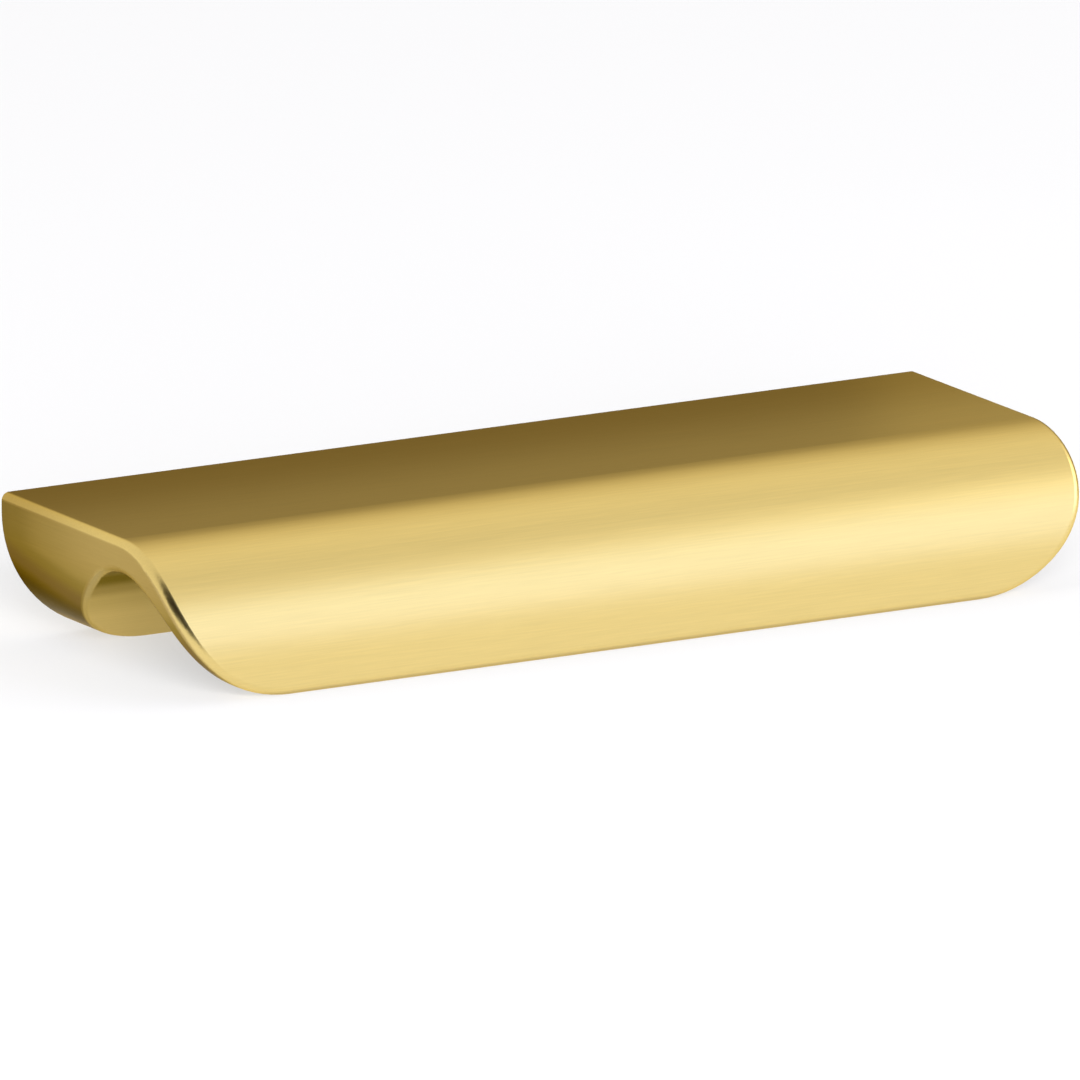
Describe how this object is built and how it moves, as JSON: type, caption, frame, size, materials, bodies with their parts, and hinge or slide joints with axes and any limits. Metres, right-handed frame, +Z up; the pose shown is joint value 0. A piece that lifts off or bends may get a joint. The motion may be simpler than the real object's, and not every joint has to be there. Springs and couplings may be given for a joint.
{
  "type": "cabinet pull",
  "caption": "Solid lip pull for a cabinet door or drawer: flat top, rounded front lip, scooped finger channel below, tapped holes in the flat back.",
  "frame": {"origin": "middle of the back face, halfway between the two screw holes", "axes": "+X along the pull, +Y out of the back face into the cabinet front, +Z up; the lip faces -Y"},
  "size_m": [0.102, 0.0335, 0.0145],
  "materials": {
    "satin_brass": "satin, brushed along the length"
  },
  "bodies": {
    "root": {"pull_body": "satin_brass"}
  },
  "joints": []
}
